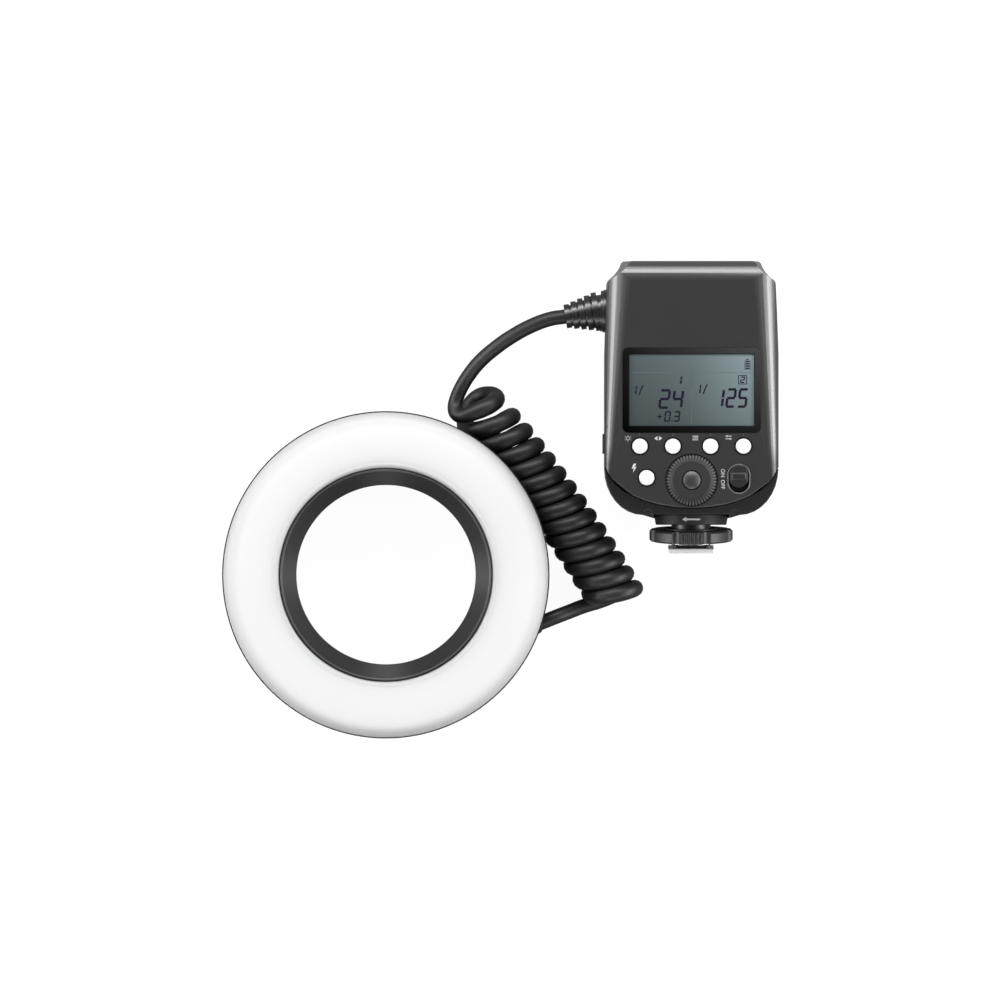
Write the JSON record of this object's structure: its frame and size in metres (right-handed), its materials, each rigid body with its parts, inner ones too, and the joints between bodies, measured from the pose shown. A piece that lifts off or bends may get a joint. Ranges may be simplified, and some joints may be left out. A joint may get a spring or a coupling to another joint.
{
  "type": "macro ring flash",
  "caption": "White ring lamp head for the front of a lens, joined by a curly cord to a control unit with display, keys, dial and a shoe foot with lock wheel.",
  "frame": {"origin": "on the table, under the middle of the box round the ring head and the control unit, the cord left out", "axes": "+X to the right of the picture, from the ring to the control unit; +Y up in the picture, away from the foot; +Z up from the table, out of the lamp face and the display"},
  "size_m": [0.2266, 0.1944, 0.0535],
  "materials": {
    "diffuser_white": "satin",
    "black_plastic": "fine texture",
    "grey_plastic": "fine texture",
    "gloss_black": "gloss",
    "key_white": "satin",
    "display_glass": "satin",
    "tube_glass": "clear",
    "bright_metal": "polished",
    "screw_steel": "satin",
    "board": "satin",
    "gilt": "polished",
    "cord_rubber": "satin"
  },
  "bodies": {
    "flash": {"diffuser": "diffuser_white", "ring_housing": "black_plastic", "lens_mount_ring": "black_plastic", "inner_bezel": "black_plastic", "front_cover": "black_plastic", "base_skirt": "black_plastic", "port_socket": "black_plastic", "switch_body": "black_plastic", "foot_spindle": "black_plastic", "foot_block": "black_plastic", "rear_cover": "grey_plastic", "battery_tray": "grey_plastic", "foot_collar": "grey_plastic", "display_bezel": "gloss_black", "main_capacitor": "gloss_black", "tube_holders": "key_white", "modelling_lamps": "key_white", "display_module": "display_glass", "flash_tube_left": "tube_glass", "flash_tube_right": "tube_glass", "reflector_tray": "bright_metal", "foot_plate": "bright_metal", "dial_encoder": "bright_metal", "ring_screws": "screw_steel", "mount_screws": "screw_steel", "body_screws": "screw_steel", "skirt_screws": "screw_steel", "key_switches": "screw_steel", "transformer": "screw_steel", "lamp_board": "board", "key_board": "board", "main_board": "board", "battery_contacts": "gilt", "strain_relief": "cord_rubber", "ring_gland": "cord_rubber", "cord_lead": "cord_rubber", "cord_coil": "cord_rubber", "cord_tail": "cord_rubber"},
    "lamp_key": {"lamp_key": "key_white"},
    "select_key": {"select_key": "key_white"},
    "function_key": {"function_key": "key_white"},
    "ratio_key": {"ratio_key": "key_white"},
    "test_key": {"test_key": "key_white"},
    "control_dial": {"control_dial": "grey_plastic"},
    "set_key": {"set_key": "gloss_black"},
    "power_switch": {"power_switch": "grey_plastic"},
    "battery_pack": {"battery_pack": "black_plastic"},
    "battery_catch": {"battery_catch": "grey_plastic"},
    "port_cover": {"port_cover": "black_plastic"},
    "clamp_plate": {"clamp_plate": "bright_metal"},
    "lock_wheel": {"lock_wheel": "grey_plastic"},
    "lock_pin": {"lock_pin": "bright_metal"},
    "contact_pins": {"contact_pins": "gilt"},
    "release_slider_left": {"release_slider_left": "grey_plastic"},
    "release_slider_right": {"release_slider_right": "grey_plastic"}
  },
  "joints": [
    {"name": "lamp_key_press", "type": "slide", "parent": "flash", "child": "lamp_key", "axis": [0, 0, -1], "range_m": [0, 0.0008], "stiffness_N_per_m": 300},
    {"name": "select_key_press", "type": "slide", "parent": "flash", "child": "select_key", "axis": [0, 0, -1], "range_m": [0, 0.0008], "stiffness_N_per_m": 300},
    {"name": "function_key_press", "type": "slide", "parent": "flash", "child": "function_key", "axis": [0, 0, -1], "range_m": [0, 0.0008], "stiffness_N_per_m": 300},
    {"name": "ratio_key_press", "type": "slide", "parent": "flash", "child": "ratio_key", "axis": [0, 0, -1], "range_m": [0, 0.0008], "stiffness_N_per_m": 300},
    {"name": "test_key_press", "type": "slide", "parent": "flash", "child": "test_key", "axis": [0, 0, -1], "range_m": [0, 0.0008], "stiffness_N_per_m": 300},
    {"name": "set_key_press", "type": "slide", "parent": "flash", "child": "set_key", "axis": [0, 0, -1], "range_m": [0, 0.0006], "stiffness_N_per_m": 300},
    {"name": "dial_turn", "type": "hinge", "parent": "flash", "child": "control_dial", "pos_m": [0.0779, 0.00805, 0.052], "axis": [0, 0, 1], "continuous": true},
    {"name": "switch_slide", "type": "slide", "parent": "flash", "child": "power_switch", "axis": [0, -1, 0], "range_m": [0, 0.0021]},
    {"name": "battery_slide", "type": "slide", "parent": "flash", "child": "battery_pack", "axis": [1, 0, 0], "range_m": [0, 0.048]},
    {"name": "catch_slide", "type": "slide", "parent": "battery_pack", "child": "battery_catch", "axis": [0, 1, 0], "range_m": [0, 0.002], "stiffness_N_per_m": 100},
    {"name": "port_cover_swing", "type": "hinge", "parent": "flash", "child": "port_cover", "pos_m": [0.0421, 0.02285, 0.0272], "axis": [0, -1, 0], "range_deg": [0, 100], "stiffness_Nm_per_rad": 0.001},
    {"name": "wheel_turn", "type": "hinge", "parent": "clamp_plate", "child": "lock_wheel", "pos_m": [0.0779, -0.01442, 0.02539], "axis": [0, -0.9962, -0.0872], "range_deg": [0, 120]},
    {"name": "clamp_slide", "type": "slide", "parent": "flash", "child": "clamp_plate", "axis": [0, -0.9962, -0.0872], "range_m": [0, 0.0009]},
    {"name": "lock_pin_slide", "type": "slide", "parent": "flash", "child": "lock_pin", "axis": [0, -0.9962, -0.0872], "range_m": [0, 0.0014]},
    {"name": "contacts_press", "type": "slide", "parent": "flash", "child": "contact_pins", "axis": [0, 0.9962, 0.0872], "range_m": [0, 0.0005], "stiffness_N_per_m": 300},
    {"name": "release_left_press", "type": "slide", "parent": "flash", "child": "release_slider_left", "axis": [1, 0, 0], "range_m": [0, 0.0015], "stiffness_N_per_m": 400},
    {"name": "release_right_press", "type": "slide", "parent": "flash", "child": "release_slider_right", "axis": [-1, 0, 0], "range_m": [0, 0.0015], "stiffness_N_per_m": 400}
  ],
  "couplings": [
    {"joint": "clamp_slide", "follows": "wheel_turn", "m_per_rad": 0.00042972},
    {"joint": "lock_pin_slide", "follows": "wheel_turn", "m_per_rad": 0.00066845}
  ]
}
